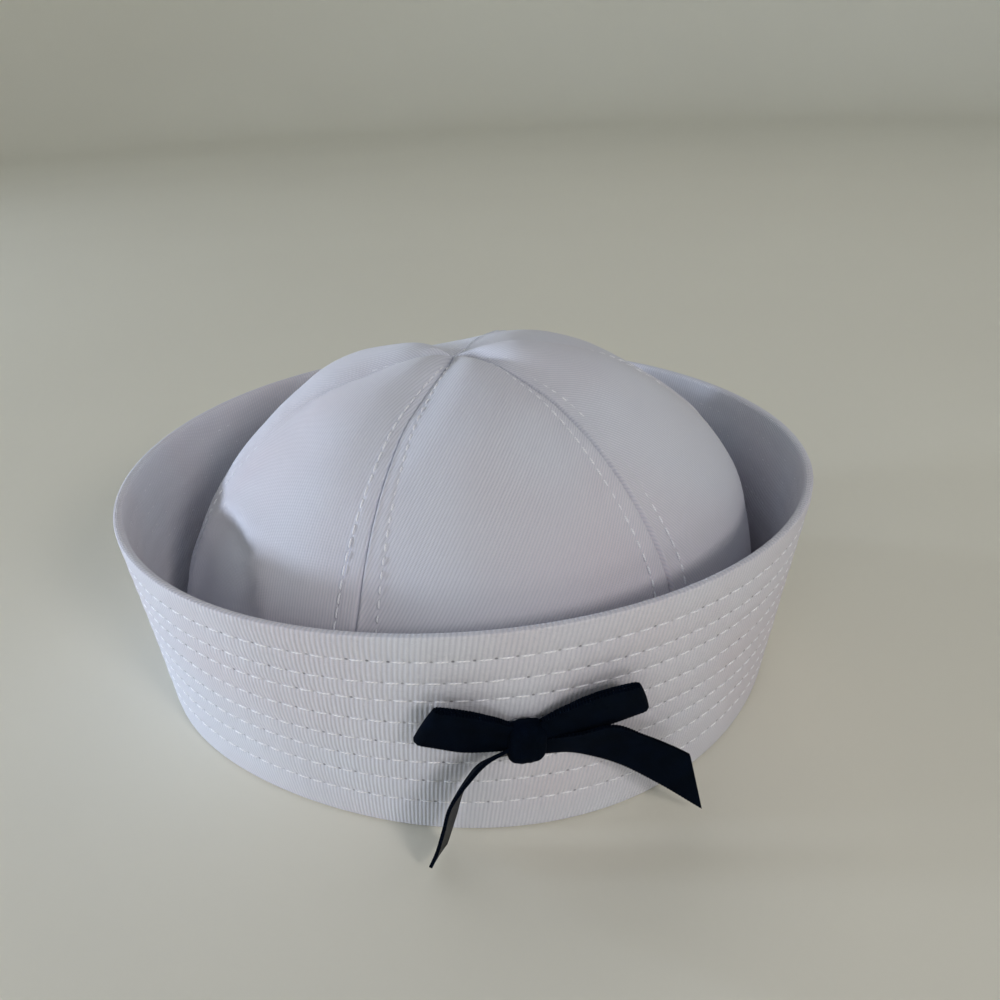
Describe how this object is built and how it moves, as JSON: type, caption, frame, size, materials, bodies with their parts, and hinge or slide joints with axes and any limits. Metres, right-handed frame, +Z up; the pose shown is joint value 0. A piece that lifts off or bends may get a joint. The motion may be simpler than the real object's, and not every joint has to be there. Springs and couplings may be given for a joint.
{
  "type": "sailor hat",
  "caption": "White cotton sailor hat with a panelled domed crown, a stitched brim turned up all round and a small dark velvet ribbon bow on its front.",
  "frame": {"origin": "On the surface the hat rests on, at the middle of the hat's outline seen from above, bow included", "axes": "+Z up through the crown, -Y out of the front of the hat, where the bow is, +X to the right seen from the front"},
  "size_m": [0.2107, 0.2211, 0.1066],
  "materials": {
    "brim_cotton": "white ribbed cotton twill in stitched layers, matt",
    "crown_cotton": "white cotton twill, matt",
    "bow_velvet": "very dark navy velvet ribbon with serrated woven edges"
  },
  "bodies": {
    "root": {"brim": "brim_cotton", "crown_panel_1": "crown_cotton", "crown_panel_2": "crown_cotton", "crown_panel_3": "crown_cotton", "crown_panel_4": "crown_cotton", "crown_panel_5": "crown_cotton", "crown_panel_6": "crown_cotton", "bow_knot": "bow_velvet", "bow_loop_left": "bow_velvet", "bow_loop_right": "bow_velvet", "bow_tail_left": "bow_velvet", "bow_tail_right": "bow_velvet"}
  },
  "joints": []
}
